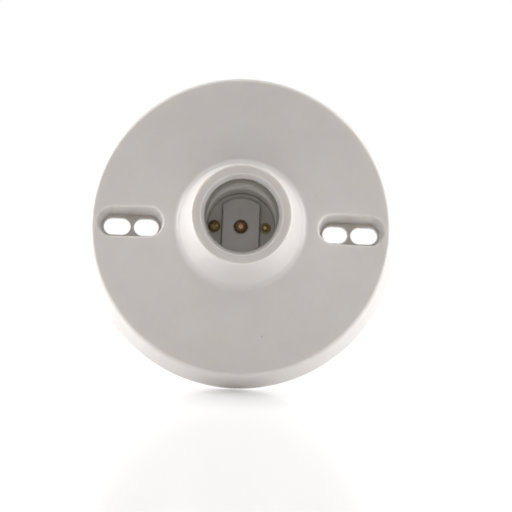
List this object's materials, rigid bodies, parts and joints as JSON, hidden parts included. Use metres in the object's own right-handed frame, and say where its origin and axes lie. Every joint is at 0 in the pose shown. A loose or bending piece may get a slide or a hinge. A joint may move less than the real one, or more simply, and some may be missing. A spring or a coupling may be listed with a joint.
{
  "type": "ceiling lamp holder",
  "caption": "Keyless ceiling lamp holder: white moulded cup with a coned face, a necked screw socket, drafted box-screw pockets and screw terminals behind.",
  "frame": {"origin": "centre of the mounting plane, on the lamp's axis, where the back rim meets the ceiling or wall", "axes": "+Y into the ceiling or wall, so the lamp points along -Y; X along the row of box-screw slots; +Z towards the line terminal"},
  "size_m": [0.1142, 0.0505, 0.1142],
  "materials": {
    "moulded_urea": "satin moulded",
    "aluminium_sheet": "bright rolled sheet",
    "turned_brass": "turned, lightly tarnished",
    "phosphor_bronze": "rolled spring strip",
    "nickel_plated_brass": "nickel plated",
    "zinc_plated_steel": "zinc plated"
  },
  "bodies": {
    "holder": {"base_body": "moulded_urea", "screw_shell": "aluminium_sheet", "contact_leaf": "phosphor_bronze", "leaf_screw": "turned_brass", "line_terminal": "turned_brass", "neutral_terminal": "nickel_plated_brass", "shell_screw": "turned_brass", "shell_lock_washer": "zinc_plated_steel", "shell_nut": "turned_brass", "shell_rivet": "turned_brass", "rivet_washer": "turned_brass"},
    "contact": {"centre_contact": "turned_brass"},
    "line_clamp": {"line_clamp": "turned_brass"},
    "line_screw": {"line_screw": "turned_brass"},
    "neutral_clamp": {"neutral_clamp": "nickel_plated_brass"},
    "neutral_screw": {"neutral_screw": "nickel_plated_brass"}
  },
  "joints": [
    {"name": "contact_press", "type": "slide", "parent": "holder", "child": "contact", "axis": [0, 1, 0], "range_m": [0, 0.0012], "stiffness_N_per_m": 2500, "deforming": ["contact_leaf"]},
    {"name": "line_clamp_slide", "type": "slide", "parent": "holder", "child": "line_clamp", "axis": [0, 1, 0], "range_m": [0, 0.0028]},
    {"name": "line_screw_turn", "type": "hinge", "parent": "line_clamp", "child": "line_screw", "pos_m": [0, -0.0083, 0.026], "axis": [0, 1, 0], "range_deg": [0, 1440]},
    {"name": "neutral_clamp_slide", "type": "slide", "parent": "holder", "child": "neutral_clamp", "axis": [0, 1, 0], "range_m": [0, 0.0028]},
    {"name": "neutral_screw_turn", "type": "hinge", "parent": "neutral_clamp", "child": "neutral_screw", "pos_m": [0, -0.0083, -0.026], "axis": [0, 1, 0], "range_deg": [0, 1440]}
  ],
  "couplings": [
    {"joint": "line_screw_turn", "follows": "line_clamp_slide", "rad_per_m": 8975.9},
    {"joint": "neutral_screw_turn", "follows": "neutral_clamp_slide", "rad_per_m": 8975.9}
  ]
}
